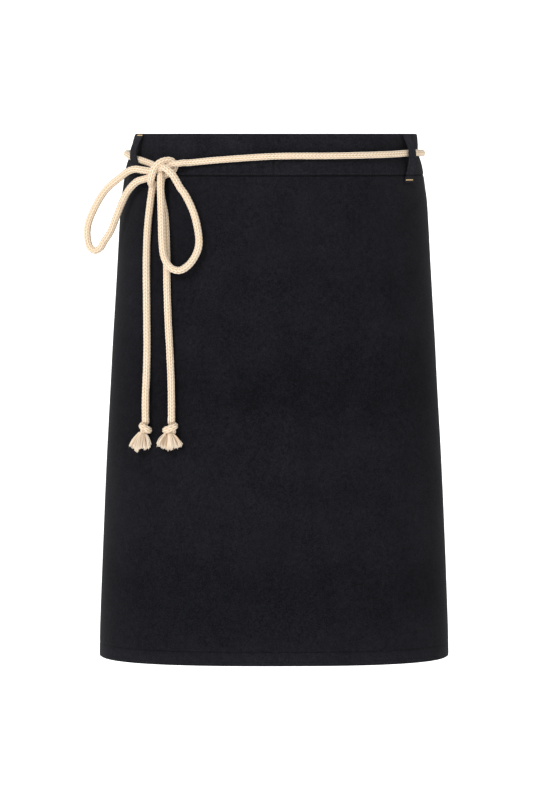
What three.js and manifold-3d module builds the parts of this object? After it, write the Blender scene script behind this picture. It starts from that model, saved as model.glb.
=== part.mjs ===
// Waist apron of black cotton twill, held by a cotton rope that is tied in a bow.
// Millimetres, Z up, the front towards -Y. The origin is the centre of the waist opening,
// level with the waistband's top edge, so all of the cloth hangs below it.
import * as THREE from 'three';
import Module from 'manifold-3d';
import { mergeVertices } from 'three/addons/utils/BufferGeometryUtils.js';

// Driving dimensions
const apronLength = 650;
const hemHalfWidth = 218;
const hemFrontDepth = 120;
const hemBackDepth = 115;
const waistGap = 165;
const hemGap = 200;
const bandHeight = 50;
const clothWall = 1;
const tuckDepth = 12;
const hemHeight = 17.5;
const backHemWidth = 15;
const foldDepth = 3;
const loopWidth = 14;
const loopWall = 1.6;
const ropeDiameter = 9;
const beltDiameter = 8.4;
const beltPress = 2;
const beltPressReach = 9;
const endKnotWidth = 16;
const endKnotHeight = 13;
const tasselNeck = 8.4;
const lockDiameter = 3.6;
const lockLength = 16;
const clearance = 0.3;

const cottonBlack = 0x191a1e;
const cottonCream = 0xe8d2ae;

// Horizontal sections of the body that the cloth lies on.
// Columns: drop (share of the length), left and right half width (shares of the hem's),
// front depth and back depth (shares of the hem's), squareness of the section's corners.
const bodySections = [
  [0.0, 0.79, 0.819, 0.917, 0.87, 2.35],
  [0.023, 0.811, 0.828, 0.925, 0.877, 2.35],
  [0.05, 0.834, 0.843, 0.933, 0.885, 2.36],
  [0.077, 0.849, 0.857, 0.942, 0.894, 2.37],
  [0.126, 0.866, 0.873, 0.95, 0.904, 2.39],
  [0.165, 0.875, 0.881, 0.955, 0.91, 2.41],
  [0.242, 0.888, 0.894, 0.963, 0.918, 2.45],
  [0.318, 0.902, 0.908, 0.971, 0.926, 2.49],
  [0.395, 0.917, 0.923, 0.976, 0.935, 2.53],
  [0.472, 0.93, 0.936, 0.98, 0.944, 2.57],
  [0.626, 0.957, 0.965, 0.988, 0.962, 2.62],
  [0.782, 0.979, 0.988, 0.996, 0.979, 2.66],
  [0.937, 0.997, 1.004, 1.0, 0.992, 2.69],
  [1.0, 1.0, 1.007, 1.0, 1.0, 2.7],
];

// Soft folds of the cloth below the band.
// Columns: around (share of the way from the front's middle to the back edge, left negative),
// drop, half length, half breadth (shares of the length), turn from upright in degrees,
// rise (share of the fold depth).
const clothFolds = [
  [0.2, 0.84, 0.14, 0.035, -58, 0.5],
  [0.27, 0.9, 0.12, 0.03, -52, -0.45],
  [-0.08, 0.38, 0.15, 0.05, -48, -0.5],
  [-0.02, 0.47, 0.2, 0.09, -60, 0.4],
  [0.03, 0.13, 0.07, 0.018, 12, -0.35],
  [0.12, 0.15, 0.06, 0.02, -18, 0.3],
  [-0.62, 0.7, 0.3, 0.035, 3, -0.7],
  [-0.74, 0.6, 0.36, 0.04, 4, 0.8],
  [-0.88, 0.72, 0.3, 0.035, 2, -0.7],
  [0.6, 0.68, 0.3, 0.035, -3, -0.6],
  [0.73, 0.62, 0.34, 0.04, -3, 0.8],
  [0.88, 0.74, 0.28, 0.035, -2, -0.7],
];

// Line of the rope round the waistband. Columns: angle round the body (degrees, -90 is the
// front), drop (share of the band's height).
const beltLine = [
  [-180, 0.48],
  [-165, 0.52],
  [-152, 0.62],
  [-142, 0.72],
  [-128, 0.72],
  [-109, 0.62],
  [-89, 0.54],
  [-68, 0.53],
  [-45, 0.5],
  [-25, 0.46],
  [0, 0.48],
  [90, 0.48],
  [180, 0.48],
];

// Belt loops. Columns: angle at the top, angle at the foot (degrees round the body).
const beltLoops = {
  belt_loop_left: [-156, -145.5],
  belt_loop_right: [-29.5, -33],
};

// Side view of a belt loop. Columns: drop (share of the band's height), and height of its inner
// face over the cloth (share of the room that the rope needs under it).
const loopProfile = [
  [0.01, 0],
  [0.06, 0.1],
  [0.15, 0.42],
  [0.26, 0.78],
  [0.38, 1],
  [0.52, 1.04],
  [0.66, 0.93],
  [0.82, 0.64],
  [0.96, 0.3],
  [1.08, 0.05],
  [1.19, 0],
];

// Routes of the rope, chosen by hand, as x, y, z of its centre.
const leftLoopRoute = [
  [-149, -89, -46], [-154, -85.5, -45], [-161, -82, -44], [-170, -76, -43], [-179, -70, -46],
  [-187, -64, -52], [-207, -51, -69], [-222, -41, -93], [-230, -36, -114], [-230, -35, -131],
  [-227, -36, -140], [-221, -39, -144], [-214.5, -42, -141], [-209, -46, -132], [-201, -51, -120],
  [-193, -57, -100], [-182, -66, -75], [-173, -73, -63], [-166, -78, -57.5], [-158, -83, -55],
  [-148.5, -88, -52],
];
const rightLoopRoute = [
  [-143, -93, -44], [-138, -99.5, -41.5], [-133, -105.5, -41], [-128, -110, -44.5],
  [-123, -111, -49.5], [-118, -111, -57.5], [-113.5, -112, -65.5], [-108, -113, -73],
  [-97, -115.5, -96.5], [-91, -117.5, -125], [-91.5, -118, -137.5], [-96, -118, -149],
  [-104, -117.5, -159.5], [-114, -116.5, -165.5], [-123, -115.5, -164], [-130, -113.5, -157],
  [-134, -112, -147.5], [-136, -109.5, -131], [-137, -106, -98.5], [-137.5, -104, -81.5],
  [-138, -102, -63], [-138, -99.5, -54], [-138.5, -94, -45],
];
const leftTailRoute = [
  [-146, -87, -57], [-148, -87.5, -65], [-150, -87.7, -78], [-151.5, -87.5, -90],
  [-153, -87.3, -102], [-154, -87.2, -113], [-155, -87.3, -128], [-155.5, -87.7, -144],
  [-155.8, -89, -163], [-155.7, -90.2, -182], [-155.5, -91.2, -201], [-155.2, -92.8, -231],
  [-155, -94.5, -262], [-155.4, -96, -282], [-156, -97.6, -300], [-156.7, -99.3, -316],
  [-157, -100.5, -330], [-157, -100.5, -341], [-157, -100.5, -352],
];
const rightTailRoute = [
  [-137.5, -91, -58.5], [-137.8, -92, -64.5], [-137.5, -93, -72], [-136.3, -94.3, -80.5],
  [-134.3, -95.6, -90], [-132.6, -96.9, -101], [-131.5, -98.5, -118], [-131, -99.6, -134],
  [-130.6, -100.8, -148.5], [-130.5, -101.8, -165.5], [-130.3, -102.8, -184],
  [-129.6, -104, -207], [-128.6, -105.7, -232.5], [-127, -107.9, -262], [-125.7, -110, -290],
  [-125, -112, -313], [-124.8, -113.2, -329], [-124.8, -113.2, -340], [-124.8, -113.2, -351],
];
const wrapRoute = [
  [-137.5, -91, -58.5], [-136, -91.5, -53], [-132.5, -93, -50], [-127, -95.5, -47.5],
  [-122.5, -97.5, -44], [-120.5, -98, -38], [-124.5, -97.5, -33], [-132, -99.5, -32.5],
  [-139.5, -101.5, -35.5], [-145, -101.5, -41], [-148, -100, -49], [-149.5, -96.5, -55.5],
  [-150, -92.5, -59.5], [-148.5, -88.5, -61.5], [-144.5, -87, -60],
];
const rightBeltEnd = [
  [-98, -104.5, -34.5], [-104, -103.5, -35], [-110, -105, -35], [-116, -106, -36], [-123, -104, -37],
  [-129, -100, -40], [-135, -94, -43],
];
const leftBeltEnd = [
  [-164, -64, -32], [-159, -70.5, -33.5], [-154.5, -75.5, -35], [-149, -82, -37], [-142, -89, -41],
];
const leftTasselSpread = [-13, -1];
const rightTasselSpread = [0, 3];

const wasm = await Module();
wasm.setup();

const upright = new THREE.Vector3(0, 0, 1);

// Sections and the cloth's surface

function mix(a, b, share) {
  return a + (b - a) * share;
}

function smoothStep(from, to, value) {
  const share = Math.min(1, Math.max(0, (value - from) / (to - from)));
  return share * share * (3 - 2 * share);
}

// A row between the rows of a table, on a smooth curve through them by the first column.
function rowAt(table, key) {
  const last = table.length - 1;
  const wanted = Math.min(table[last][0], Math.max(table[0][0], key));
  let i = 0;
  while (i < last - 1 && table[i + 1][0] < wanted) i += 1;
  const span = table[i + 1][0] - table[i][0];
  const t = (wanted - table[i][0]) / span;
  const slope = (row, column) => {
    const before = table[Math.max(0, row - 1)];
    const after = table[Math.min(last, row + 1)];
    return (after[column] - before[column]) / (after[0] - before[0]) * span;
  };
  return table[i].map((value, column) => {
    const next = table[i + 1][column];
    const cubic = 2 * t ** 3 - 3 * t ** 2;
    return value * (cubic + 1) + slope(i, column) * (t ** 3 - 2 * t ** 2 + t)
      - next * cubic + slope(i + 1, column) * (t ** 3 - t ** 2);
  });
}

function bodySection(drop) {
  const row = rowAt(bodySections, drop / apronLength);
  return {
    left: row[1] * hemHalfWidth,
    right: row[2] * hemHalfWidth,
    front: row[3] * hemFrontDepth,
    back: row[4] * hemBackDepth,
    power: row[5],
  };
}

// Place on the body at an angle (radians) and a drop, moved out by lift.
function bodyPoint(angle, drop, lift) {
  const section = bodySection(drop);
  const c = Math.cos(angle);
  const s = Math.sin(angle);
  const { power } = section;
  const across = c > 0 ? section.right : section.left;
  const deep = s > 0 ? section.back : section.front;
  const scale = (Math.abs(c) ** power + Math.abs(s) ** power) ** (-1 / power);
  const x = across * c * scale;
  const y = deep * s * scale;
  const out = new THREE.Vector2(
    Math.sign(x) * (Math.abs(x) / across) ** (power - 1) / across,
    Math.sign(y) * (Math.abs(y) / deep) ** (power - 1) / deep,
  ).normalize();
  return new THREE.Vector3(x + out.x * lift, y + out.y * lift, -drop);
}

// Angles from the front's middle to a back edge, with the length along the section so far.
const sideSteps = 120;
const sideCache = new Map();
function sideTable(drop, side) {
  const name = `${drop.toFixed(3)} ${side}`;
  if (sideCache.has(name)) return sideCache.get(name);
  const section = bodySection(drop);
  const across = side > 0 ? section.right : section.left;
  const halfGap = mix(waistGap, hemGap, drop / apronLength) / 2;
  const share = halfGap / across;
  const backAngle = Math.atan2((1 - share ** section.power) ** (1 / section.power), share);
  const table = [];
  let length = 0;
  let before = bodyPoint(-Math.PI / 2, drop, 0);
  for (let k = 0; k <= sideSteps; k += 1) {
    const turn = (k / sideSteps) * (backAngle + Math.PI / 2);
    const angle = side > 0 ? -Math.PI / 2 + turn : -Math.PI / 2 - turn;
    const here = bodyPoint(angle, drop, 0);
    length += here.distanceTo(before);
    table.push({ angle, length });
    before = here;
  }
  sideCache.set(name, table);
  return table;
}

function girth(drop, side) {
  return sideTable(drop, side)[sideSteps].length;
}

function angleAround(around, drop) {
  const table = sideTable(drop, around);
  const wanted = Math.abs(around) * table[sideSteps].length;
  let k = 1;
  while (k < sideSteps && table[k].length < wanted) k += 1;
  const share = (wanted - table[k - 1].length) / (table[k].length - table[k - 1].length);
  return mix(table[k - 1].angle, table[k].angle, share);
}

function foldRise(around, drop) {
  const below = smoothStep(bandHeight, bandHeight * 1.6, drop);
  let rise = 0;
  for (const [foldAround, foldDrop, foldLength, breadth, turn, share] of clothFolds) {
    const lean = THREE.MathUtils.degToRad(turn);
    const across = (around - foldAround) * girth(drop, around);
    const down = drop - foldDrop * apronLength;
    const along = (down * Math.cos(lean) + across * Math.sin(lean)) / (foldLength * apronLength);
    const beside = (across * Math.cos(lean) - down * Math.sin(lean)) / (breadth * apronLength);
    rise += share * foldDepth * Math.exp(-(along ** 2) - beside ** 2);
  }
  return rise * below;
}

function beltDrop(angle) {
  return rowAt(beltLine, THREE.MathUtils.radToDeg(angle))[1] * bandHeight;
}

// Depth to which the tight rope presses the band in.
function beltDent(angle, drop) {
  const whole = angle < -Math.PI ? angle + 2 * Math.PI : angle;
  return beltPress * Math.exp(-(((drop - beltDrop(whole)) / beltPressReach) ** 2));
}

// Bodies

// Closed body through rings of points, each ring an outline [lift, drop] seen end on.
function loft(rings, firstOutline, lastOutline) {
  const count = rings[0].length;
  const positions = rings.flat().flatMap((point) => point.toArray());
  const indices = [];
  for (let i = 0; i < rings.length - 1; i += 1) {
    for (let k = 0; k < count; k += 1) {
      const a = i * count + k;
      const b = i * count + ((k + 1) % count);
      indices.push(a, b, b + count, a, b + count, a + count);
    }
  }
  const cap = (outline, start, inOrder) => {
    const flat = outline.map(([lift, drop]) => new THREE.Vector2(lift, drop));
    const whole = THREE.ShapeUtils.area(flat);
    for (const face of THREE.ShapeUtils.triangulateShape(flat, [])) {
      const sameWay = THREE.ShapeUtils.area(face.map((index) => flat[index])) * whole > 0;
      const [a, b, c] = face.map((index) => index + start);
      indices.push(...(sameWay === inOrder ? [a, b, c] : [a, c, b]));
    }
  };
  cap(firstOutline, 0, false);
  cap(lastOutline, (rings.length - 1) * count, true);
  const geometry = new THREE.BufferGeometry();
  geometry.setAttribute('position', new THREE.Float32BufferAttribute(positions, 3));
  geometry.setIndex(indices);
  return faceOut(geometry);
}

function signedVolume(geometry) {
  const position = geometry.getAttribute('position');
  const corner = (k) => new THREE.Vector3().fromBufferAttribute(position, geometry.index.getX(k));
  let volume = 0;
  for (let k = 0; k < geometry.index.count; k += 3) {
    volume += corner(k).dot(corner(k + 1).cross(corner(k + 2))) / 6;
  }
  return volume;
}

function faceOut(geometry) {
  if (signedVolume(geometry) < 0) {
    const index = Array.from(geometry.index.array);
    for (let k = 0; k < index.length; k += 3) {
      [index[k + 1], index[k + 2]] = [index[k + 2], index[k + 1]];
    }
    geometry.setIndex(index);
  }
  geometry.computeVertexNormals();
  return geometry;
}

function solidOf(geometry) {
  const bare = geometry.clone();
  bare.deleteAttribute('normal');
  bare.deleteAttribute('uv');
  bare.clearGroups();
  const merged = mergeVertices(bare, 1e-4);
  return new wasm.Manifold(new wasm.Mesh({
    numProp: 3,
    vertProperties: new Float32Array(merged.getAttribute('position').array),
    triVerts: new Uint32Array(merged.index.array),
  }));
}

function geometryOf(solid) {
  const mesh = solid.getMesh();
  const geometry = new THREE.BufferGeometry();
  geometry.setAttribute('position', new THREE.BufferAttribute(mesh.vertProperties, 3));
  geometry.setIndex(new THREE.BufferAttribute(mesh.triVerts, 1));
  geometry.computeVertexNormals();
  return geometry;
}

function join(solids) {
  return solids.reduce((whole, solid) => whole.add(solid));
}

function clothMesh(name, geometry) {
  const material = new THREE.MeshStandardMaterial({ color: cottonBlack, roughness: 0.9, metalness: 0 });
  const mesh = new THREE.Mesh(geometry, material);
  mesh.name = name;
  return mesh;
}

function ropeMesh(name, geometry) {
  const material = new THREE.MeshStandardMaterial({ color: cottonCream, roughness: 0.85, metalness: 0 });
  const mesh = new THREE.Mesh(geometry, material);
  mesh.name = name;
  return mesh;
}

// Shares of the way from the front's middle to a back edge at which the cloth is cut into
// sections. The last two bound the back edge's hem.
const hemStart = 1 - backHemWidth / girth(apronLength, 1);
const hemStep = 0.002;
const aroundSteps = 25;
const aroundShares = [];
for (let i = 0; i <= aroundSteps; i += 1) aroundShares.push(mix(0, hemStart, i / aroundSteps));
aroundShares.push(hemStart + hemStep, 1);

// Waistband: an outer and an inner ply with the panel's top edge between them

const slotWidth = clothWall + 2 * clearance;
const bandThickness = 2 * clothWall + slotWidth;
const panelInset = clothWall + clearance;

function bandOutline() {
  const fold = clothWall * 0.6;
  return [
    [0, bandHeight], [0, bandHeight * 0.86], [0, bandHeight * 0.72], [0, bandHeight * 0.58],
    [0, bandHeight * 0.44], [0, bandHeight * 0.3], [0, bandHeight * 0.15], [0, fold],
    [-fold, 0], [fold - bandThickness, 0], [-bandThickness, fold],
    [-bandThickness, bandHeight * 0.5], [-bandThickness, bandHeight],
    [clothWall - bandThickness, bandHeight], [clothWall - bandThickness, bandHeight - tuckDepth],
    [-clothWall, bandHeight - tuckDepth], [-clothWall, bandHeight],
  ];
}

function waistband(name, side) {
  const seam = clearance / 2 / girth(0, side);
  const outline = bandOutline();
  const rings = aroundShares.map((share) => outline.map(([lift, drop]) => {
    const angle = angleAround(side * Math.max(share, seam), drop);
    return bodyPoint(angle, drop, lift - beltDent(angle, drop));
  }));
  return clothMesh(name, loft(rings, outline, outline));
}

// Panel: one wall, doubled along the hem and the two back edges

const panelTop = bandHeight - tuckDepth + clearance;

function panelLift(around, drop) {
  const settle = smoothStep(bandHeight, bandHeight * 1.7, drop);
  const angle = angleAround(around, drop);
  return foldRise(around, drop) - panelInset * (1 - settle) - beltDent(angle, drop);
}

function apronPanel() {
  const hemTop = apronLength - hemHeight;
  const stations = [panelTop, bandHeight, bandHeight * 1.2, bandHeight * 1.5];
  const rows = 12;
  for (let k = 0; k <= rows; k += 1) stations.push(mix(bandHeight * 1.9, hemTop - clothWall, k / rows));
  const outside = [...stations, hemTop, mix(hemTop, apronLength, 0.5), apronLength];
  const inside = [apronLength, hemTop, ...stations.toReversed()];
  const places = [...aroundShares.slice(1).toReversed().map((share) => -share), ...aroundShares];
  const outlineAt = (around) => {
    const doubled = Math.abs(around) > hemStart + hemStep / 2;
    const wall = (drop, hemmed) => {
      const double = hemmed || (doubled && drop > bandHeight);
      return double ? 2 * clothWall : clothWall;
    };
    return [
      ...outside.map((drop) => [panelLift(around, drop), drop]),
      ...inside.map((drop, k) => [panelLift(around, drop) - wall(drop, k < 2), drop]),
    ];
  };
  const outlines = places.map(outlineAt);
  const rings = outlines.map((outline, i) => outline.map(([lift, drop]) => (
    bodyPoint(angleAround(places[i], drop), drop, lift))));
  return clothMesh('apron_panel', loft(rings, outlines[0], outlines.at(-1)));
}

// Belt loops: flat straps that bow out over the rope

function beltLoop(name, [topDegrees, footDegrees]) {
  const room = beltDiameter - beltPress + 3 * clearance + loopWall / 2;
  const rings = [];
  const flatOutline = [[0, 0], [loopWall, 0], [loopWall, loopWidth], [0, loopWidth]];
  for (const [dropShare, rise] of loopProfile) {
    const drop = dropShare * bandHeight;
    const share = dropShare / loopProfile.at(-1)[0];
    const angle = THREE.MathUtils.degToRad(mix(topDegrees, footDegrees, share));
    const inner = bodyPoint(angle, drop, clearance + rise * room);
    const outer = bodyPoint(angle, drop, clearance + rise * room + loopWall);
    const out = outer.clone().sub(inner).normalize();
    const beside = new THREE.Vector3().crossVectors(upright, out).multiplyScalar(loopWidth / 2);
    rings.push([
      inner.clone().sub(beside), outer.clone().sub(beside),
      outer.clone().add(beside), inner.clone().add(beside),
    ]);
  }
  return clothMesh(name, loft(rings, flatOutline, flatOutline));
}

// Rope: round strands along curves

const ropeSides = 8;

function curveThrough(points) {
  const places = points.map((point) => (Array.isArray(point) ? new THREE.Vector3(...point) : point));
  return new THREE.CatmullRomCurve3(places);
}

// The stretch of a curve between two lengths along it, as a solid of the given diameter.
function strand(curve, from, to, diameter, stepLength) {
  const total = curve.getLength();
  const steps = Math.max(2, Math.round((to - from) / stepLength));
  const places = [];
  for (let k = 0; k <= steps; k += 1) places.push(curve.getPointAt(mix(from, to, k / steps) / total));
  const section = new THREE.Shape();
  for (let k = 0; k < ropeSides; k += 1) {
    const angle = (k / ropeSides) * 2 * Math.PI;
    const corner = [Math.cos(angle) * diameter / 2, Math.sin(angle) * diameter / 2];
    if (k === 0) section.moveTo(...corner);
    else section.lineTo(...corner);
  }
  section.closePath();
  const extrudePath = new THREE.CatmullRomCurve3(places);
  return solidOf(new THREE.ExtrudeGeometry(section, { steps, extrudePath, bevelEnabled: false }));
}

const curves = {
  leftLoop: curveThrough(leftLoopRoute),
  rightLoop: curveThrough(rightLoopRoute),
  leftTail: curveThrough(leftTailRoute),
  rightTail: curveThrough(rightTailRoute),
  wrap: curveThrough(wrapRoute),
  rightBelt: curveThrough(rightBeltEnd),
  leftBelt: curveThrough(leftBeltEnd),
};

// How much of each strand, from its hidden end, belongs to the knot.
const knotReach = {
  leftLoopUpper: 9,
  leftLoopLower: 9,
  rightLoopOuter: 24,
  rightLoopInner: 16,
  leftTail: 12,
  rightBelt: 26,
  leftBelt: 16,
};

const bendStep = 5;
const loopStep = 11;
const beltStep = 15;
const tailStep = 24;

function knotStrands(swell, inset) {
  const size = ropeDiameter + 2 * swell;
  const lengthOf = (curve) => curve.getLength();
  const { leftLoop, rightLoop, leftTail, wrap, rightBelt, leftBelt } = curves;
  return [
    strand(wrap, inset, lengthOf(wrap), size, bendStep),
    strand(leftLoop, 0, knotReach.leftLoopUpper - inset, size, bendStep),
    strand(leftLoop, lengthOf(leftLoop) - knotReach.leftLoopLower + inset, lengthOf(leftLoop), size, bendStep),
    strand(rightLoop, 0, knotReach.rightLoopOuter - inset, size, bendStep),
    strand(rightLoop, lengthOf(rightLoop) - knotReach.rightLoopInner + inset, lengthOf(rightLoop), size, bendStep),
    strand(leftTail, 0, knotReach.leftTail - inset, size, bendStep),
    strand(rightBelt, lengthOf(rightBelt) - knotReach.rightBelt + inset, lengthOf(rightBelt), size, bendStep),
    strand(leftBelt, lengthOf(leftBelt) - knotReach.leftBelt + inset, lengthOf(leftBelt), size, bendStep),
  ];
}

// The knot grown by the clearance, which trims the strands that come close beside it.
function knotRoom() {
  const flatShare = Math.cos(Math.PI / ropeSides);
  const swell = (ropeDiameter / 2 + clearance) / flatShare - ropeDiameter / 2;
  return join(knotStrands(swell, clearance / 2));
}

function bowParts() {
  const room = knotRoom();
  const { leftLoop, rightLoop, leftTail, rightTail } = curves;
  const loose = {
    bow_loop_left: strand(leftLoop, knotReach.leftLoopUpper,
      leftLoop.getLength() - knotReach.leftLoopLower, ropeDiameter, loopStep),
    bow_loop_right: strand(rightLoop, knotReach.rightLoopOuter,
      rightLoop.getLength() - knotReach.rightLoopInner, ropeDiameter, loopStep),
    tail_left: strand(leftTail, knotReach.leftTail, leftTail.getLength(), ropeDiameter, tailStep),
    tail_right: strand(rightTail, 0, rightTail.getLength(), ropeDiameter, tailStep),
  };
  const meshes = [ropeMesh('bow_knot', geometryOf(join(knotStrands(0, clearance))))];
  for (const [name, solid] of Object.entries(loose)) {
    meshes.push(ropeMesh(name, geometryOf(solid.subtract(room))));
  }
  return meshes;
}

// The tight rope round the band, from the knot's right side round the back to its left side.
function ropeBelt() {
  const lift = beltDiameter / 2 + 3 * clearance - beltPress;
  const places = rightBeltEnd.slice(0, 2).toReversed().map((point) => new THREE.Vector3(...point));
  for (let degrees = -114; degrees <= 204; degrees += 6) {
    const whole = degrees > 180 ? degrees - 360 : degrees;
    const angle = THREE.MathUtils.degToRad(degrees);
    places.push(bodyPoint(angle, beltDrop(THREE.MathUtils.degToRad(whole)), lift));
  }
  places.push(...leftBeltEnd.slice(1, 3).map((point) => new THREE.Vector3(...point)));
  const curve = new THREE.CatmullRomCurve3(places);
  const solid = strand(curve, 0, curve.getLength(), beltDiameter, beltStep);
  return ropeMesh('rope_belt', geometryOf(solid.subtract(knotRoom())));
}

// End knots and tassels

function endKnot(name, route, lean) {
  const top = new THREE.Vector3(...route.at(-1));
  const core = new THREE.CylinderGeometry(ropeDiameter / 2, ropeDiameter / 2, endKnotHeight, 10);
  core.rotateX(Math.PI / 2);
  const turn = new THREE.TorusGeometry(endKnotWidth / 2 - ropeDiameter * 0.42, ropeDiameter * 0.42, 10, 16);
  turn.rotateY(THREE.MathUtils.degToRad(lean));
  const geometry = geometryOf(solidOf(core).add(solidOf(turn)));
  geometry.translate(top.x, top.y, top.z - clearance - endKnotHeight / 2);
  return ropeMesh(name, geometry);
}

function tassel(name, route, [middle, toFront]) {
  const top = new THREE.Vector3(...route.at(-1));
  const neckHeight = 5;
  const neck = new THREE.CylinderGeometry(tasselNeck / 2, tasselNeck / 2 + 1, neckHeight, 10);
  neck.rotateX(Math.PI / 2);
  neck.translate(0, 0, -neckHeight / 2);
  const locks = [solidOf(neck)];
  const lockCount = 9;
  for (let k = 0; k < lockCount; k += 1) {
    const side = mix(-1, 1, k / (lockCount - 1));
    const deep = k % 3 - 1;
    const lock = new THREE.CylinderGeometry(lockDiameter / 2, lockDiameter * 0.3, lockLength, 6);
    lock.rotateX(Math.PI / 2);
    lock.translate(0, 0, -lockLength / 2);
    const way = new THREE.Vector3(side * 11 + middle, -deep * 2.5 - toFront, -lockLength).normalize();
    const turn = new THREE.Quaternion().setFromUnitVectors(new THREE.Vector3(0, 0, -1), way);
    lock.applyQuaternion(turn);
    lock.translate(side * 2.4, -deep * 1.6, 1 - neckHeight);
    locks.push(solidOf(lock));
  }
  const geometry = geometryOf(join(locks));
  geometry.translate(top.x, top.y, top.z - endKnotHeight - 2 * clearance);
  return ropeMesh(name, geometry);
}

const apron = new THREE.Group();
apron.add(apronPanel());
apron.add(waistband('waistband_left', -1));
apron.add(waistband('waistband_right', 1));
for (const [name, angles] of Object.entries(beltLoops)) apron.add(beltLoop(name, angles));
apron.add(ropeBelt());
apron.add(...bowParts());
apron.add(endKnot('end_knot_left', leftTailRoute, 18));
apron.add(endKnot('end_knot_right', rightTailRoute, -16));
apron.add(tassel('tassel_left', leftTailRoute, leftTasselSpread));
apron.add(tassel('tassel_right', rightTailRoute, rightTasselSpread));

export default apron;
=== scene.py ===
import math
import random

import bmesh
import bpy
import numpy as np
from mathutils import Matrix, Vector


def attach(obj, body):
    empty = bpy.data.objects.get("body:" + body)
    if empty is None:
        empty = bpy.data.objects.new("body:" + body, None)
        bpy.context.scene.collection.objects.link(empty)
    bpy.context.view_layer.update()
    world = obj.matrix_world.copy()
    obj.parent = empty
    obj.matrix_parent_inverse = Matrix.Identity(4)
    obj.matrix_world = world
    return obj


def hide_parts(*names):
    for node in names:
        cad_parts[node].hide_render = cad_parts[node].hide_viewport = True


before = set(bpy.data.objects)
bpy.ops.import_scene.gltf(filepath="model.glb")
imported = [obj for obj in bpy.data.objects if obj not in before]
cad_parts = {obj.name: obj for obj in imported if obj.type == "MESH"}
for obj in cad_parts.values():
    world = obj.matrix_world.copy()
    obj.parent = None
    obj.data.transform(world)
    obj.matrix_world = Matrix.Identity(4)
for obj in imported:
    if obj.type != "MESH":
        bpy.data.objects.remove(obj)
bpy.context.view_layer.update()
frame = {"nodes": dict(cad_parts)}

mm = 0.001  # the scene is in metres; sizes and routes below are in millimetres
scene = bpy.context.scene
scene.view_settings.view_transform = "Standard"

# Camera, level with the apron's top edge and tipped down
cameraSettings = {
    "distance": 4.6,
    "side": -0.0087,
    "pitch": 4.13,  # degrees below level
    "lens": 165.8,
    "sensor": 36,
    "clipEnd": 60,
}


def addCamera(settings):
    data = bpy.data.cameras.new("camera")
    data.lens = settings["lens"]
    data.sensor_width = settings["sensor"]
    data.clip_end = settings["clipEnd"]
    camera = bpy.data.objects.new("camera", data)
    camera.location = (settings["side"], -settings["distance"], 0)
    camera.rotation_euler = (math.radians(90 - settings["pitch"]), 0, 0)
    scene.collection.objects.link(camera)
    scene.camera = camera


addCamera(cameraSettings)
print("camera placed")

# Rope: routes of its centre and how it is braided
rope = {
    "diameter": 9.0,
    "beltDiameter": 8.4,
    "beltPress": 2.0,  # how far the tight rope sinks into the band
    "beltReach": 9.0,
    "clearance": 0.3,
    "columns": 8,  # braid columns round the rope
    "perColumn": 6,  # mesh steps across one column
    "stitch": 4.2,  # length of one braid stitch
    "slant": 1.0,  # how far a stitch runs on from one side of its column to the other
    "relief": 0.7,
    "acrossPower": 2.4,  # how square a stitch is across its column, along it and at its top
    "alongPower": 2.8,
    "topPower": 1.2,
    "wave": (0.012, 0.21),  # slow change of the thickness and its rate along the rope
    "ripple": (0.008, 0.53),
    "step": 0.72,  # mesh step along the rope
    "beltAngles": range(-114, 205, 6),  # points of the belt round the waist, in degrees
}
leftLoopRoute = [
    (-149, -89, -46), (-154, -85.5, -45), (-161, -82, -44), (-170, -76, -43), (-179, -70, -46),
    (-187, -64, -52), (-207, -51, -69), (-222, -41, -93), (-230, -36, -114), (-230, -35, -131),
    (-227, -36, -140), (-221, -39, -144), (-214.5, -42, -141), (-209, -46, -132), (-201, -51, -120),
    (-193, -57, -100), (-182, -66, -75), (-173, -73, -63), (-166, -78, -57.5), (-158, -83, -55),
    (-148.5, -88, -52),
]
rightLoopRoute = [
    (-143, -93, -44), (-138, -99.5, -41.5), (-133, -105.5, -41), (-128, -110, -44.5),
    (-123, -111, -49.5), (-118, -111, -57.5), (-113.5, -112, -65.5), (-108, -113, -73),
    (-97, -115.5, -96.5), (-91, -117.5, -125), (-91.5, -118, -137.5), (-96, -118, -149),
    (-104, -117.5, -159.5), (-114, -116.5, -165.5), (-123, -115.5, -164), (-130, -113.5, -157),
    (-134, -112, -147.5), (-136, -109.5, -131), (-137, -106, -98.5), (-137.5, -104, -81.5),
    (-138, -102, -63), (-138, -99.5, -54), (-138.5, -94, -45),
]
leftTailRoute = [
    (-146, -87, -57), (-148, -87.5, -65), (-150, -87.7, -78), (-151.5, -87.5, -90),
    (-153, -87.3, -102), (-154, -87.2, -113), (-155, -87.3, -128), (-155.5, -87.7, -144),
    (-155.8, -89, -163), (-155.7, -90.2, -182), (-155.5, -91.2, -201), (-155.2, -92.8, -231),
    (-155, -94.5, -262), (-155.4, -96, -282), (-156, -97.6, -300), (-156.7, -99.3, -316),
    (-157, -100.5, -330), (-157, -100.5, -341), (-157, -100.5, -352),
]
rightTailRoute = [
    (-137.5, -91, -58.5), (-137.8, -92, -64.5), (-137.5, -93, -72), (-136.3, -94.3, -80.5),
    (-134.3, -95.6, -90), (-132.6, -96.9, -101), (-131.5, -98.5, -118), (-131, -99.6, -134),
    (-130.6, -100.8, -148.5), (-130.5, -101.8, -165.5), (-130.3, -102.8, -184),
    (-129.6, -104, -207), (-128.6, -105.7, -232.5), (-127, -107.9, -262), (-125.7, -110, -290),
    (-125, -112, -313), (-124.8, -113.2, -329), (-124.8, -113.2, -340), (-124.8, -113.2, -351),
]
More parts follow.
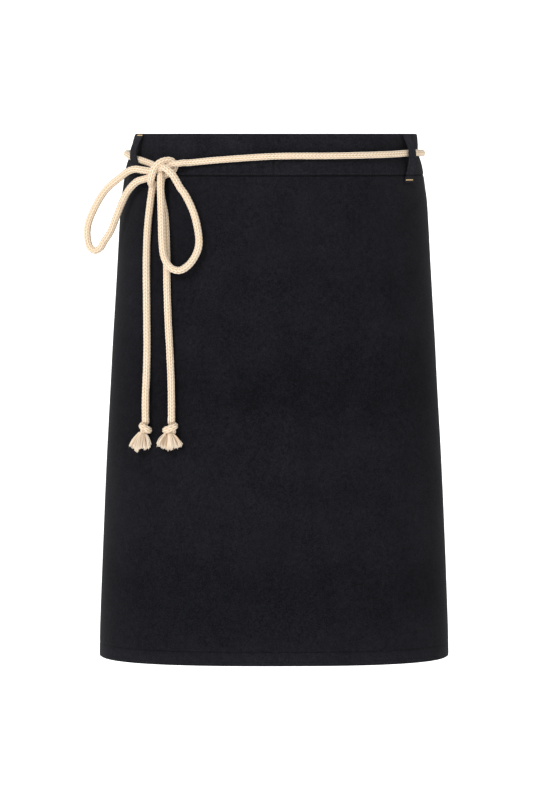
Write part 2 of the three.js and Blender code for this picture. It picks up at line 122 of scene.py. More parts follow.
wrapRoute = [
    (-137.5, -91, -58.5), (-136, -91.5, -53), (-132.5, -93, -50), (-127, -95.5, -47.5),
    (-122.5, -97.5, -44), (-120.5, -98, -38), (-124.5, -97.5, -33), (-132, -99.5, -32.5),
    (-139.5, -101.5, -35.5), (-145, -101.5, -41), (-148, -100, -49), (-149.5, -96.5, -55.5),
    (-150, -92.5, -59.5), (-148.5, -88.5, -61.5), (-144.5, -87, -60),
]
rightBeltEnd = [
    (-98, -104.5, -34.5), (-104, -103.5, -35), (-110, -105, -35), (-116, -106, -36),
    (-123, -104, -37), (-129, -100, -40), (-135, -94, -43),
]
leftBeltEnd = [
    (-164, -64, -32), (-159, -70.5, -33.5), (-154.5, -75.5, -35), (-149, -82, -37),
    (-142, -89, -41),
]

# The body that the cloth lies on
apron = {
    "length": 650,
    "hemHalfWidth": 218,
    "frontDepth": 120,
    "backDepth": 115,
    "waistGap": 165,
    "hemGap": 200,
    "bandHeight": 50,
    "wall": 1.0,
    "ply": 0.9,  # thickness of the cloth made here, a little less than the wall
    "tuck": 12,
    "hem": 17.5,
    "backHem": 15,
    "foldDepth": 3.0,
}
# share of the length, then left and right half width, front and back depth (shares of the
# hem's) and how square the corners are
bodySections = [
    (0.0, 0.79, 0.819, 0.917, 0.87, 2.35),
    (0.023, 0.811, 0.828, 0.925, 0.877, 2.35),
    (0.05, 0.834, 0.843, 0.933, 0.885, 2.36),
    (0.077, 0.849, 0.857, 0.942, 0.894, 2.37),
    (0.126, 0.866, 0.873, 0.95, 0.904, 2.39),
    (0.165, 0.875, 0.881, 0.955, 0.91, 2.41),
    (0.242, 0.888, 0.894, 0.963, 0.918, 2.45),
    (0.318, 0.902, 0.908, 0.971, 0.926, 2.49),
    (0.395, 0.917, 0.923, 0.976, 0.935, 2.53),
    (0.472, 0.93, 0.936, 0.98, 0.944, 2.57),
    (0.626, 0.957, 0.965, 0.988, 0.962, 2.62),
    (0.782, 0.979, 0.988, 0.996, 0.979, 2.66),
    (0.937, 0.997, 1.004, 1.0, 0.992, 2.69),
    (1.0, 1.0, 1.007, 1.0, 1.0, 2.7),
]
# angle round the body in degrees (-90 is the front), drop as a share of the band's height
beltLine = [
    (-180, 0.48), (-165, 0.52), (-152, 0.62), (-142, 0.72), (-128, 0.72), (-109, 0.62), (-89, 0.54),
    (-68, 0.53), (-45, 0.5), (-25, 0.46), (0, 0.48), (90, 0.48), (180, 0.48),
]


def mix(a, b, share):
    return a + (b - a) * share


def smoothStep(start, end, value):
    share = min(1, max(0, (value - start) / (end - start)))
    return share * share * (3 - 2 * share)


def bell(value, centre, reach):
    # 1 at the centre, falling to nothing on both sides of it
    return math.exp(-(((value - centre) / reach) ** 2))


def rowAt(table, key):
    # A row between the rows of a table, on a smooth curve through them
    last = len(table) - 1
    wanted = min(table[last][0], max(table[0][0], key))
    i = 0
    while i < last - 1 and table[i + 1][0] < wanted:
        i += 1
    span = table[i + 1][0] - table[i][0]
    t = (wanted - table[i][0]) / span
    cubic = 2 * t**3 - 3 * t**2
    result = []
    for column in range(len(table[0])):
        slopes = []
        for row in (i, i + 1):
            before, after = table[max(0, row - 1)], table[min(last, row + 1)]
            slopes.append((after[column] - before[column]) / (after[0] - before[0]) * span)
        value = table[i][column] * (cubic + 1) - table[i + 1][column] * cubic
        value += slopes[0] * (t**3 - 2 * t**2 + t) + slopes[1] * (t**3 - t**2)
        result.append(value)
    return result


sections = {}


def bodySection(drop):
    key = round(drop, 3)
    if key not in sections:
        row = rowAt(bodySections, drop / apron["length"])
        across = apron["hemHalfWidth"]
        front, back = row[3] * apron["frontDepth"], row[4] * apron["backDepth"]
        sections[key] = (row[1] * across, row[2] * across, front, back, row[5])
    return sections[key]


def bodyPoint(angle, drop, lift):
    left, right, front, back, power = bodySection(drop)
    c, s = math.cos(angle), math.sin(angle)
    across = right if c > 0 else left
    deep = back if s > 0 else front
    scale = (abs(c) ** power + abs(s) ** power) ** (-1 / power)
    x, y = across * c * scale, deep * s * scale
    outX = math.copysign((abs(x) / across) ** (power - 1) / across, x)
    outY = math.copysign((abs(y) / deep) ** (power - 1) / deep, y)
    size = math.hypot(outX, outY)
    return Vector((x + outX / size * lift, y + outY / size * lift, -drop))


sideSteps = 120
sideTables = {}


def sideTable(drop, side):
    # Angles from the front's middle to a back edge, with the length so far
    key = (round(drop, 3), side > 0)
    if key not in sideTables:
        left, right, front, back, power = bodySection(drop)
        halfGap = mix(apron["waistGap"], apron["hemGap"], drop / apron["length"]) / 2
        share = halfGap / (right if side > 0 else left)
        backAngle = math.atan2((1 - share**power) ** (1 / power), share)
        turns = [k / sideSteps * (backAngle + math.pi / 2) for k in range(sideSteps + 1)]
        angles = [-math.pi / 2 + (turn if side > 0 else -turn) for turn in turns]
        places = np.array([bodyPoint(angle, drop, 0) for angle in angles])
        lengths = np.concatenate([[0], np.cumsum(np.linalg.norm(np.diff(places, axis=0), axis=1))])
        sideTables[key] = (angles, lengths)
    return sideTables[key]


def girth(drop, side):
    return float(sideTable(drop, side)[1][-1])


def angleAround(around, drop):
    angles, lengths = sideTable(drop, around)
    return float(np.interp(abs(around) * lengths[-1], lengths, angles))


def beltDropAt(angle):
    whole = angle + 2 * math.pi if angle < -math.pi else angle
    return rowAt(beltLine, math.degrees(whole))[1] * apron["bandHeight"]


def beltDent(angle, drop):
    return rope["beltPress"] * bell(drop, beltDropAt(angle), rope["beltReach"])


def curveThrough(route, step):
    # A smooth curve through the route, cut into even steps, in metres
    spanSteps = 16
    points = [Vector(p) for p in route]
    dense = []
    for i in range(len(points) - 1):
        p1, p2 = points[i], points[i + 1]
        p0 = points[i - 1] if i > 0 else p1 * 2 - p2
        p3 = points[i + 2] if i + 2 < len(points) else p2 * 2 - p1
        d0, d1, d2 = [max(1e-4, (b - a).length) ** 0.5 for a, b in ((p0, p1), (p1, p2), (p2, p3))]
        t1 = ((p1 - p0) / d0 - (p2 - p0) / (d0 + d1) + (p2 - p1) / d1) * d1
        t2 = ((p2 - p1) / d1 - (p3 - p1) / (d1 + d2) + (p3 - p2) / d2) * d1
        for k in range(spanSteps):
            t = k / spanSteps
            square = p2 * 3 - p1 * 3 - t1 * 2 - t2
            cube = p1 * 2 - p2 * 2 + t1 + t2
            dense.append(p1 + t1 * t + square * t**2 + cube * t**3)
    dense.append(points[-1])
    flat = np.array(dense)
    lengths = np.concatenate([[0], np.cumsum(np.linalg.norm(np.diff(flat, axis=0), axis=1))])
    count = max(3, round(lengths[-1] / step))
    wanted = np.linspace(0, lengths[-1], count + 1)
    places = np.stack([np.interp(wanted, lengths, flat[:, axis]) for axis in range(3)], axis=1)
    return [Vector(place) * mm for place in places]


def pathLength(path):
    return sum((b - a).length for a, b in zip(path, path[1:]))


def framesAlong(path):
    # A side and an up direction at each point, carried along without twist
    ends = zip(path[:1] + path[:-1], path[1:] + path[-1:])
    tangents = [(after - before).normalized() for before, after in ends]
    side = tangents[0].orthogonal()
    frames = []
    for i, tangent in enumerate(tangents):
        if i:
            side = tangents[i - 1].rotation_difference(tangent) @ side
        side = (side - tangent * side.dot(tangent)).normalized()
        frames.append((side, tangent.cross(side)))
    return frames


def braidHeight(column, along):
    # 0 in the grooves of the braid, 1 on top of a stitch
    index = math.floor(column)
    across = column - index - 0.5
    along += across * (rope["slant"] if index % 2 else -rope["slant"])
    stitch = along - math.floor(along) - 0.5
    ridge = 1 - abs(2 * across) ** rope["acrossPower"]
    ridge *= 1 - abs(2 * stitch) ** rope["alongPower"]
    return max(0.0, ridge) ** rope["topPower"]


def ringPoint(centre, sideways, around, radius):
    # A point on a ring round a tube's centre, at a share of the way round it
    angle = 2 * math.pi * around
    side, up = sideways
    return centre + (side * math.cos(angle) + up * math.sin(angle)) * radius * mm


def addTube(bm, path, sides, place):
    # A closed tube whose ring points come from place(row, share round, frame) -> point, height
    frames = framesAlong(path)
    steps = len(path) - 1
    groove = bm.verts.layers.float.get("groove") or bm.verts.layers.float.new("groove")
    made = bmesh.ops.create_grid(bm, x_segments=sides, y_segments=steps, size=0.5, calc_uvs=True)
    rings = {}
    for vert in made["verts"]:
        column, row = round((vert.co.x + 0.5) * sides), round((vert.co.y + 0.5) * steps)
        rings.setdefault((column % sides, row), []).append(vert)
    for (column, row), verts in rings.items():
        point, height = place(row, column / sides, frames[row])
        for vert in verts:
            vert.co = point
            vert[groove] = height
    bmesh.ops.remove_doubles(bm, verts=made["verts"], dist=1e-7)


def closeHoles(bm):
    rim = [edge for edge in bm.edges if edge.is_boundary]
    if rim:
        bmesh.ops.holes_fill(bm, edges=rim, sides=0)


def newPiece(name, bm, material, uvSize=(1, 1), outward=True):
    if outward:
        bmesh.ops.recalc_face_normals(bm, faces=bm.faces)
    uv = bm.loops.layers.uv.active
    mesh = bpy.data.meshes.new(name)
    bm.to_mesh(mesh)
    bm.free()
    if uv and mesh.uv_layers:
        layer = mesh.uv_layers[0]
        values = np.empty(len(mesh.loops) * 2, dtype=np.float32)
        layer.data.foreach_get("uv", values)
        layer.data.foreach_set("uv", (values.reshape(-1, 2) * np.array(uvSize)).ravel())
    mesh.polygons.foreach_set("use_smooth", [True] * len(mesh.polygons))
    mesh.materials.append(material)
    piece = bpy.data.objects.new(name, mesh)
    scene.collection.objects.link(piece)
    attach(piece, "root")
    return piece


print("helpers ready")


# Materials: sockets that can be added and multiplied, and one method for every node
class Wire:
    def __init__(self, finish, socket):
        self.finish = finish
        self.socket = socket

    def maths(self, operation, *values):
        inputs = dict(enumerate(values))
        return self.finish.node("ShaderNodeMath", {"operation": operation}, inputs)

    def __add__(self, other):
        return self.maths("ADD", self, other)

    def __sub__(self, other):
        return self.maths("SUBTRACT", self, other)

    def __rsub__(self, other):
        return self.maths("SUBTRACT", other, self)

    def __mul__(self, other):
        return self.maths("MULTIPLY", self, other)

    def __truediv__(self, other):
        return self.maths("DIVIDE", self, other)

    def __pow__(self, other):
        return self.maths("POWER", self, other)

    __radd__ = __add__
    __rmul__ = __mul__

    def fraction(self):
        return self.maths("FRACT", self)

    def size(self):
        return self.maths("ABSOLUTE", self)

    def bell(self, centre, reach):
        # 1 at the centre, falling to nothing on both sides of it
        share = (self - centre) / reach
        return self.maths("POWER", math.e, share * share * -1)

    def clamped(self):
        return self.maths("MINIMUM", self.maths("MAXIMUM", self, 0.0), 1.0)


class Finish:
    def __init__(self, name):
        self.material = bpy.data.materials.new(name)
        self.material.use_nodes = True
        self.tree = self.material.node_tree
        self.tree.nodes.clear()

    def node(self, kind, settings=None, inputs=None, output=0):
        made = self.tree.nodes.new(kind)
        for key, value in (settings or {}).items():
            setattr(made, key, value)
        for key, value in (inputs or {}).items():
            if isinstance(value, Wire):
                self.tree.links.new(value.socket, made.inputs[key])
            else:
                made.inputs[key].default_value = value
        return Wire(self, made.outputs[output]) if made.outputs else None

    def coordinates(self, output="Object"):
        return self.node("ShaderNodeTexCoord", output=output)

    def parts(self, vector):
        split = self.node("ShaderNodeSeparateXYZ", inputs={0: vector})
        return [Wire(self, socket) for socket in split.socket.node.outputs]

    def vector(self, x, y, z=0.0):
        return self.node("ShaderNodeCombineXYZ", inputs={0: x, 1: y, 2: z})

    def noise(self, vector, scale, detail, roughness):
        inputs = {"Vector": vector, "Scale": scale, "Detail": detail, "Roughness": roughness}
        return self.node("ShaderNodeTexNoise", inputs=inputs)

    def colour(self, share, first, second):
        settings = {"data_type": "RGBA"}
        return self.node("ShaderNodeMix", settings, {0: share, 6: first, 7: second}, output=2)

    def bump(self, height, distance, strength, normal=None):
        inputs = {"Height": height, "Distance": distance, "Strength": strength}
        if normal:
            inputs["Normal"] = normal
        return self.node("ShaderNodeBump", inputs=inputs)

    def cloth(self, colour, roughness, normal, settings):
        inputs = {
            "Base Color": colour,
            "Roughness": roughness,
            "Normal": normal,
            "Sheen Weight": settings["sheen"],
            "Sheen Roughness": settings["sheenRoughness"],
            "Specular IOR Level": settings["specular"],
        }
        shader = self.node("ShaderNodeBsdfPrincipled", inputs=inputs)
        self.node("ShaderNodeOutputMaterial", inputs={"Surface": shader})
        return self.material


twill = {
    "pitch": 0.62,  # from one diagonal rib to the next
    "dark": (0.0036, 0.0037, 0.0049, 1),
    "light": (0.0205, 0.0205, 0.0255, 1),
    "roughness": 0.9,
    "sheen": 0.03,
    "sheenRoughness": 0.5,
    "specular": 0.03,
    "ribRise": 0.8,  # how steeply the ribs climb
    "ribHeight": 0.00012,
    "blotchHeight": 0.0003,
    # scale, detail and roughness of the noises
    "fleck": (640, 2, 0.7),
    "blotch": (190, 3, 0.6),
    "cloud": (24, 2, 0.5),
    "paintedShades": [
        # height across the cloth of each band of painted shade, its reach and its depth: the
        # painted shadow under the waistband's foot, broad painted shade bands over the panel,
        # painted shade along the hem's stitch line and, with a negative depth, painted light on the
        # hem
        (-0.0509, 0.0009, 0.7),
        (-0.2, 0.09, 0.1),
        (-0.315, 0.05, 0.22),
        (-0.42, 0.07, 0.08),
        (-0.56, 0.05, 0.22),
        (-0.6335, 0.0008, 0.3),
        (-0.643, 0.007, -0.18),
    ],
}


# the scale of the light colour paints copies of the same twill lighter or darker for how the light
# falls on them
def twillFinish(name, settings, paintedLight=1.0):
    finish = Finish(name)
    u, v, _ = finish.parts(finish.coordinates("UV"))
    pitch, rise = settings["pitch"], settings["ribRise"]
    diagonal = ((u + v * rise) / pitch).fraction()
    rib = 1 - (diagonal * 2 - 1).size() ** 2
    yarn = 1 - ((v / (pitch * rise)).fraction() * 2 - 1).size() ** 2
    place = finish.coordinates()
    _, _, z = finish.parts(place)
    fleck, blotch, cloud = [finish.noise(place, *settings[k]) for k in ("fleck", "blotch", "cloud")]
    slub = finish.noise(finish.vector(u * 0.07, v * 1.2), 1.0, 2, 0.6)
    height = rib * 0.7 + yarn * 0.3
    # painted shade: dark bands at set heights darken the colour, and a negative depth lightens it
    paintedShade = sum(z.bell(centre, reach) * depth for centre, reach, depth in settings["paintedShades"])
    weave = rib * 0.12 + fleck * 1.45 + blotch * 0.55 + cloud * 0.35 + slub * 0.3
    tone = (weave - paintedShade * 0.7 - 1.0).clamped()
    light = tuple(value * paintedLight for value in settings["light"][:3]) + (1,)
    colour = finish.colour(tone, settings["dark"], light)
    normal = finish.bump(height, settings["ribHeight"], 0.7)
    normal = finish.bump(blotch, settings["blotchHeight"], 0.35, normal)
    return finish.cloth(colour, settings["roughness"] + blotch * 0.1, normal, settings)


cotton = {
    # painted shade: the groove colour is a darker tan for the shade in the braid's grooves
    "groove": (0.44, 0.26, 0.095, 1),
    "top": (0.785, 0.68, 0.55, 1),
    "streak": (0.66, 0.45, 0.26, 1),
    "fibre": 0.00018,
    "roughness": 0.86,
    "sheen": 0.25,
    "sheenRoughness": 0.5,
    "specular": 0.2,
    # scale, detail and roughness of the noises
    "fuzz": (900, 3, 0.6),
    "cloud": (55, 2, 0.5),
}


def cottonFinish(name, settings, isLoose=False):
    finish = Finish(name)
    u, v, _ = finish.parts(finish.coordinates("UV"))
    height = finish.node("ShaderNodeAttribute", {"attribute_name": "groove"}, output="Fac")
    place = finish.coordinates()
    fibres = finish.noise(finish.vector(u * 9.0, v * (0.35 if isLoose else 2.2)), 1.0, 3, 0.65)
    fuzz, cloud = finish.noise(place, *settings["fuzz"]), finish.noise(place, *settings["cloud"])
    # On the rope the colour darkens from the stitch tops into the grooves as painted shade; on the
    # tassels the height holds each yarn's tone
    tone = (height * 1.5 + fibres * 0.5 + fuzz * 0.25 + cloud * 0.3 - 0.5).clamped()
    colour = finish.colour(tone, settings["groove"], settings["top"])
    tan = (fibres * 2.0 + cloud * 1.2 - 1.45).clamped()
    colour = finish.colour(tan * 0.6, colour, settings["streak"])
    normal = finish.bump(fibres, settings["fibre"], 0.8)
    normal = finish.bump(fuzz, settings["fibre"], 0.4, normal)
    return finish.cloth(colour, settings["roughness"] + fuzz * 0.1, normal, settings)


thread = {
    "twist": (1400, 2, 0.6),
    "twistHeight": 0.0001,
    "roughness": 0.6,
    "sheen": 0.0,
    "sheenRoughness": 0.4,
    "specular": 0.12,
}


def threadFinish(name, settings, base, tip):
    finish = Finish(name)
    twist = finish.noise(finish.coordinates(), *settings["twist"])
    colour = finish.colour(twist, base, tip)
    normal = finish.bump(twist, settings["twistHeight"], 0.5)
    return finish.cloth(colour, settings["roughness"] + twist * 0.2, normal, settings)


# The same black twill three times with painted light: the panel's light colour at 0.9, the band's
# at 1.12 and the straps' at 1.75
panelTwill = twillFinish("black twill", twill, 0.9)
bandTwillPaintedLight = twillFinish("black twill band, painted light", twill, 1.12)
strapTwillPaintedLight = twillFinish("black twill strap, painted light", twill, 1.75)
ropeCotton = cottonFinish("cotton rope", cotton)
looseCotton = cottonFinish("cotton strands", {**cotton, "groove": (0.47, 0.29, 0.15, 1)}, True)
blackThread = threadFinish(
    "black thread", thread, (0.007, 0.007, 0.009, 1), (0.04, 0.04, 0.045, 1))
# painted highlight: the hem's black thread gets a grey colour for the glint of its stitches
hemThreadPaintedGlint = threadFinish("hem thread, painted glint", thread, (0.03, 0.03, 0.034, 1), (0.11, 0.11, 0.12, 1))
tanThread = threadFinish("tan thread", thread, (0.42, 0.26, 0.1, 1), (0.8, 0.6, 0.32, 1))
print("materials ready")


# Rope pieces
def ropePiece(name, paths, diameter, turn=0.0):
    bm = bmesh.new()
    sides = rope["columns"] * rope["perColumn"]
    for path in paths:
        spacing = pathLength(path) / (len(path) - 1) / mm

        def place(row, around, sideways):
            along = row * spacing
            height = braidHeight(around * rope["columns"] + turn, along / rope["stitch"])
            uneven = 1 + rope["wave"][0] * math.sin(along * rope["wave"][1] + turn)
            uneven += rope["ripple"][0] * math.sin(along * rope["ripple"][1])
            radius = (diameter / 2 - rope["relief"] * (1 - height)) * uneven
            return ringPoint(path[row], sideways, around, radius), height

        addTube(bm, path, sides, place)
    closeHoles(bm)
    length = pathLength(paths[0]) / mm
    piece = newPiece(name, bm, ropeCotton, (rope["columns"], length / rope["stitch"]))
    return piece


def beltRoute():
    lift = rope["beltDiameter"] / 2 + 3 * rope["clearance"] - rope["beltPress"]
    route = list(reversed(rightBeltEnd))
    for degrees in rope["beltAngles"]:
        angle = math.radians(degrees)
        whole = degrees - 360 if degrees > 180 else degrees
        drop = rowAt(beltLine, whole)[1] * apron["bandHeight"]
        route.append(tuple(bodyPoint(angle, drop, lift)))
    return route + leftBeltEnd[1:]


leftLoopPath = curveThrough(leftLoopRoute, rope["step"])
rightLoopPath = curveThrough(rightLoopRoute, rope["step"])
leftTailPath = curveThrough(leftTailRoute, rope["step"])
rightTailPath = curveThrough(rightTailRoute, rope["step"])
wrapPath = curveThrough(wrapRoute, rope["step"])
beltPath = curveThrough(beltRoute(), rope["step"])

leftLoop = ropePiece("bow_loop_left_rope", [leftLoopPath], rope["diameter"], 0.3)
rightLoop = ropePiece("bow_loop_right_rope", [rightLoopPath], rope["diameter"], 0.1)
leftTail = ropePiece("tail_left_rope", [leftTailPath], rope["diameter"], 0.6)
rightTail = ropePiece("tail_right_rope", [rightTailPath], rope["diameter"], 0.2)
wrap = ropePiece("bow_knot_rope", [wrapPath], rope["diameter"], 0.2)
belt = ropePiece("rope_belt_rope", [beltPath], rope["beltDiameter"], 0.4)
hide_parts("bow_loop_left")
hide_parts("bow_loop_right")
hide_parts("tail_left")
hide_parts("tail_right")
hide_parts("bow_knot")
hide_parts("rope_belt")
print("rope laid")

# End knots: one turn of the rope round itself, as offsets from the tail's end
endKnot = {
    "diameter": 8.8,
    "turn": [
        (0, 0, 6), (0.3, 1.2, 1.5), (-1.2, 3.2, -2.6), (-3.7, 1.4, -4.4), (-3.4, -2.4, -5.6),
        (-0.4, -4.4, -7.2), (3.0, -3.0, -9.4), (3.9, 0.6, -10.0), (2.4, 3.4, -9.6),
        (-0.6, 3.4, -10.0), (-2.0, 1.0, -11.2), (-1.8, 0, -13.8),
    ],
    "shiftTop": 1,  # where a sideways shift of the turn starts, and over what depth it comes
    "shiftDepth": 5,
    "step": 0.54,
}
leftTailEnd = Vector(leftTailRoute[-1])
rightTailEnd = Vector(rightTailRoute[-1])


def endKnotPiece(name, end, wide, aside=0.0):
    # wide widens the turn, below 0 mirrors it, and aside shifts it sideways
    route = []
    for x, y, z in endKnot["turn"]:
        share = min(1, max(0, (endKnot["shiftTop"] - z) / endKnot["shiftDepth"]))
        route.append(end + Vector((x * wide + aside * share, y, z)))
    path = curveThrough(route, endKnot["step"])
    return ropePiece(name, [path], endKnot["diameter"], 0.3)


leftKnot = endKnotPiece("end_knot_left_rope", leftTailEnd, 1.0)
rightKnot = endKnotPiece("end_knot_right_rope", rightTailEnd, -1.4, -1.6)
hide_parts("end_knot_left")
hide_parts("end_knot_right")
print("end knots tied")

# Tassels: bundles of loose yarns that fan out below the end knots
tassel = {
    "yarns": 150,
    "yarnDiameter": 1.1,
    "neck": (3.7, 3.2),  # half width and half depth
    "neckDrop": 12.2,  # below the tail's end
    "footDepth": 5.0,
    "length": 20.5,
    "lock": (3.2, 1.8),  # how much lower one lock hangs, and its reach to each side
    # depth, rate and phase of the two waves that gather the yarns in clumps
    "clumps": ((0.8, 7, 1), (0.45, 17, 2)),
    "tones": (0.05, 0.35, 0.7, 0.9, 1.0),
    "sides": 5,
    "steps": 9,
}


def tasselPiece(name, end, seed, neckSide, left, right, lean, arch, longer):
    # left and right are the foot's edges and lean its forward shift, from the tail's end, and
    # the yarns at the place named by longer hang lower than the rest
    dice = random.Random(seed)
    bm = bmesh.new()
    start = end + Vector((0, 0, -tassel["neckDrop"]))
    neckWidth, neckDepth = tassel["neck"]
    for _ in range(tassel["yarns"]):
        turn = dice.uniform(0, 2 * math.pi)
        out = math.sqrt(dice.random())
        across, deep = math.cos(turn) * out, math.sin(turn) * out
        top = Vector((neckSide + across * neckWidth, deep * neckDepth, 0))
        spread = (left + right) / 2 + (right - left) / 2 * across
        clump = sum(
            depth * math.sin(across * rate + seed * phase)
            for depth, rate, phase in tassel["clumps"]
        )
        length = tassel["length"] + dice.gauss(0, 0.9) - arch * across * across + clump
        length += tassel["lock"][0] * bell(spread, longer, tassel["lock"][1])
        footSide = spread + clump * 0.8 + dice.gauss(0, 0.7)
        foot = Vector((footSide, deep * tassel["footDepth"] - lean, -length))
        bow = Vector((dice.uniform(-0.8, 0.8) + across * 1.4, dice.uniform(-0.8, 0.8), 0))
        path = []
        for k in range(tassel["steps"] + 1):
            t = k / tassel["steps"]
            wave = math.sin(t * 7 + turn * 5) * 0.22 * t
            point = top.lerp(foot, t) + bow * math.sin(math.pi * t) + Vector((wave, -wave, 0))
            path.append((start + point) * mm)
        tone = dice.choice(tassel["tones"])
        thick = tassel["yarnDiameter"] * dice.uniform(0.75, 1.2) / 2

        def place(row, around, sideways):
            t = row / tassel["steps"]
            radius = thick * (0.75 + 0.45 * t) * (0.55 if row == tassel["steps"] else 1)
            paler = 0.3 if row >= tassel["steps"] - 1 else 0
            height = min(1, tone * (0.75 + 0.3 * t) + paler)
            return ringPoint(path[row], sideways, around, radius), height

        addTube(bm, path, tassel["sides"], place)
    closeHoles(bm)
    piece = newPiece(name, bm, looseCotton, (1, tassel["steps"]))
    return piece


leftTassel = tasselPiece("tassel_left_yarns", leftTailEnd, 4, -4.2, -19.8, 7.0, 1.5, 2.8, -11.5)
rightTassel = tasselPiece("tassel_right_yarns", rightTailEnd, 9, -3.0, -19, 13.8, 2.5, 5.5, -40)
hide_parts("tassel_left")
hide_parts("tassel_right")
print("tassels combed")

# Cloth panel, hemmed at the foot and at both back edges
panel = {
    "columns": 250,
    "hemColumns": 8,
    "rows": 120,
    "foldGap": 1.25,  # from the outer ply to the hem's inner ply
    "edge": 0.9988,  # share of the way round where the cloth turns back under itself
    "stitchDepth": 0.35,
    "stitchReach": 1.3,
    "seamDrop": 0.8,  # of the crease just below the waistband, from the band's foot
    "seamDepth": 0.8,
    "seamReach": 0.9,
    "pucker": 0.35,  # depth of the waves below the seam, their middle and their reach
    "puckerDrop": 57,
    "puckerReach": 8,
    "taper": 0.93,  # share of its flat rectangle that the narrowing cloth fills
}
# around (share of the way to the back edge, left negative), drop, half length and half breadth
# (shares of the length), turn from upright in degrees, rise (share of the fold depth)
clothFolds = [
    (0.2, 0.84, 0.14, 0.035, -58, 0.5),
    (0.27, 0.9, 0.12, 0.03, -52, -0.45),
    (-0.08, 0.38, 0.15, 0.05, -48, -0.5),
    (-0.02, 0.47, 0.2, 0.09, -60, 0.4),
    (0.03, 0.13, 0.07, 0.018, 12, -0.35),
    (0.12, 0.15, 0.06, 0.02, -18, 0.3),
    (-0.62, 0.7, 0.3, 0.035, 3, -0.7),
    (-0.74, 0.6, 0.36, 0.04, 4, 0.8),
    (-0.88, 0.72, 0.3, 0.035, 2, -0.7),
    (0.6, 0.68, 0.3, 0.035, -3, -0.6),
    (0.73, 0.62, 0.34, 0.04, -3, 0.8),
    (0.88, 0.74, 0.28, 0.035, -2, -0.7),
]
hemTop = apron["length"] - apron["hem"]
hemStitchDrop = hemTop + 1.5
backHemStart = 1 - apron["backHem"] / girth(apron["length"], 1)
backStitch = backHemStart + 0.004
backStitchTop = 60


def foldRise(around, drop):
    below = smoothStep(apron["bandHeight"], apron["bandHeight"] * 1.6, drop)
    if not below:
        return 0
    rise = 0
    for foldAround, foldDrop, foldLength, breadth, turn, share in clothFolds:
        lean = math.radians(turn)
        across = (around - foldAround) * girth(drop, around)
        down = drop - foldDrop * apron["length"]
        along = (down * math.cos(lean) + across * math.sin(lean)) / (foldLength * apron["length"])
        beside = (across * math.cos(lean) - down * math.sin(lean)) / (breadth * apron["length"])
        rise += share * apron["foldDepth"] * math.exp(-(along**2) - beside**2)
    return rise * below


def panelLift(around, drop):
    settle = smoothStep(apron["bandHeight"], apron["bandHeight"] * 1.7, drop)
    inset = (apron["wall"] + rope["clearance"]) * (1 - settle)
    lift = foldRise(around, drop) - inset
    seamDrop = apron["bandHeight"] + panel["seamDrop"]
    lift -= panel["seamDepth"] * bell(drop, seamDrop, panel["seamReach"])
    along = around * girth(drop, around)
    wave = math.sin(along * 0.21)
    wave += 0.7 * math.sin(along * 0.13 + 1.0) + 0.5 * math.sin(along * 0.37 + 2.0)
    pucker = panel["pucker"] * bell(drop, panel["puckerDrop"], panel["puckerReach"])
    lift += pucker * wave * smoothStep(50.5, 54, drop)
    groove = bell(drop, hemStitchDrop, panel["stitchReach"])
    if drop > backStitchTop:
        beside = (abs(around) - backStitch) * girth(drop, around)
        groove = max(groove, bell(beside, 0, panel["stitchReach"]))
    return lift - panel["stitchDepth"] * groove


def panelPoint(around, drop, lift=0.0):
    angle = angleAround(around, drop)
    return bodyPoint(angle, drop, panelLift(around, drop) - beltDent(angle, drop) + lift) * mm


def panelColumns():
    # around and the extra plies under it, from the left hem's inner edge to the right one's
    steps, edge = panel["hemColumns"], panel["edge"]
    hem = [(mix(backHemStart, edge, k / steps), 1.0) for k in range(steps + 1)] + [(1.0, 0.5)]
    steps = panel["columns"]
    middle = [(mix(-edge, edge, k / steps), 0.0) for k in range(steps + 1)]
    return [(-around, ply) for around, ply in hem] + middle + hem[::-1]


def panelRows():
    top = apron["bandHeight"] - apron["tuck"] + rope["clearance"]
    foot = apron["length"]
    drops = [top, 44, 48, 49.5, 50, 50.4, 50.8, 51.2, 51.8, 52.6, 53.6, 55, 57, 60]
    rows = [(drop, 0.0) for drop in drops]
    for k in range(panel["rows"] + 1):
        rows.append((mix(64, hemTop - 5, k / panel["rows"]), 0.0))
    for k in range(14):
        rows.append((mix(hemTop - 4, hemTop + 5, k / 13), 0.0))
    rows += [(foot - 9, 0.0), (foot - 5, 0.0), (foot - 2, 0.0), (foot - 0.4, 0.0), (foot, 0.5)]
    rows += [(foot - 0.4, 1.0), (foot - 3, 1.0), (foot - 9, 1.0), (foot - 14, 1.0), (hemTop, 1.0)]
    return rows


def thicken(piece):
    shell = piece.modifiers.new("cloth", "SOLIDIFY")
    shell.thickness = apron["ply"] * mm
    shell.offset = -1


def panelPiece():
    columns, rows = panelColumns(), panelRows()
    xSteps, ySteps = len(columns) - 1, len(rows) - 1
    bm = bmesh.new()
    made = bmesh.ops.create_grid(bm, x_segments=xSteps, y_segments=ySteps, size=0.5, calc_uvs=True)
    for vert in made["verts"]:
        around, sidePly = columns[round((vert.co.x + 0.5) * xSteps)]
        drop, footPly = rows[round((vert.co.y + 0.5) * ySteps)]
        vert.co = panelPoint(around, drop, -panel["foldGap"] * (sidePly + footPly))
    width = girth(apron["length"], 1) + girth(apron["length"], -1) + 2 * apron["backHem"]
    length = apron["length"] - apron["bandHeight"] + apron["tuck"] + apron["hem"]
    piece = newPiece("apron_panel_cloth", bm, panelTwill, (width, length), outward=False)
    thicken(piece)
    return piece, width, length


cloth, panelWidth, panelLength = panelPiece()
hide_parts("apron_panel")
print("panel hung", round(panelWidth), round(panelLength))

